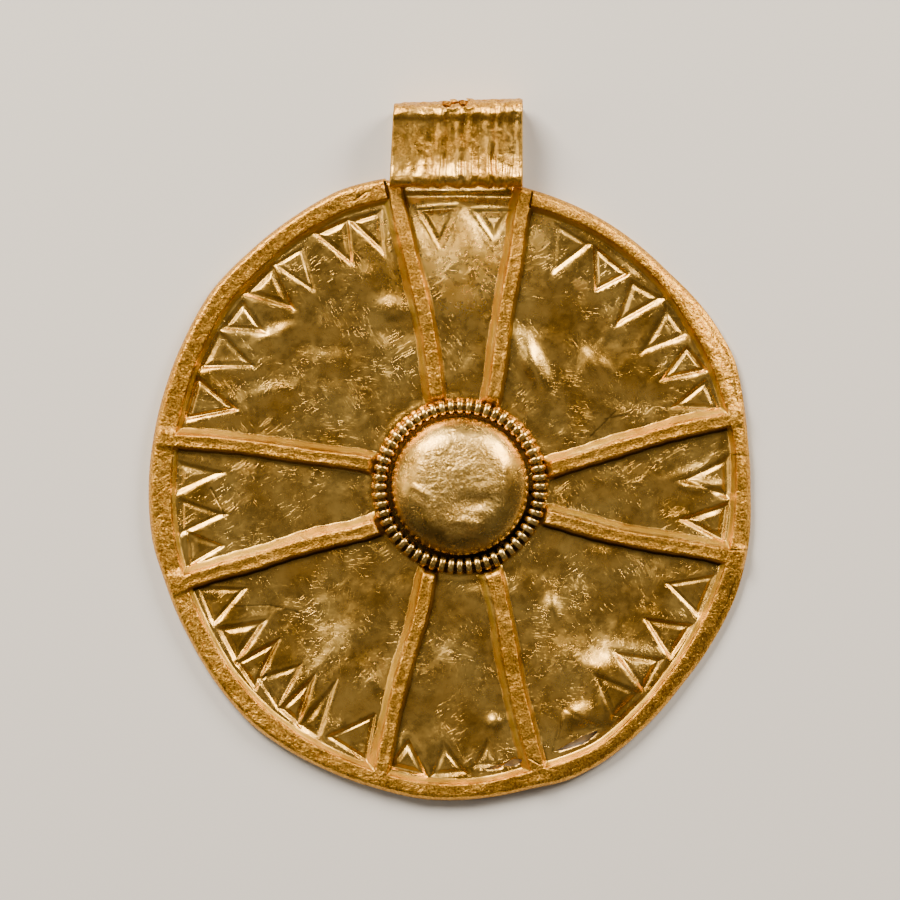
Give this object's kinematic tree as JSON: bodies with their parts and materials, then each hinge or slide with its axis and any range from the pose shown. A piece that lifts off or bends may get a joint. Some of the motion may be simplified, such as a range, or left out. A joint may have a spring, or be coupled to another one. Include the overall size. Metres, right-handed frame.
{
  "type": "disc pendant",
  "caption": "Sheet-gold disc pendant with a raised rim, splayed ridges, punched triangles, a domed boss in a beaded ring and a ribbed loop.",
  "frame": {"origin": "middle of the disc on its back face, which is the plane it lies on", "axes": "+Z out of the pendant's front, +Y up towards the suspension loop, +X to the right seen from the front"},
  "size_m": [0.0385, 0.0451, 0.0032],
  "materials": {
    "sheet_gold": "worn, hand-beaten sheet gold",
    "pale_gold": "polished pale gold wire",
    "boss_gold": "satin gold with fine scratches"
  },
  "bodies": {
    "root": {"embossed_disc": "sheet_gold", "beaded_collar": "pale_gold", "boss": "boss_gold", "suspension_loop": "sheet_gold"}
  },
  "joints": []
}
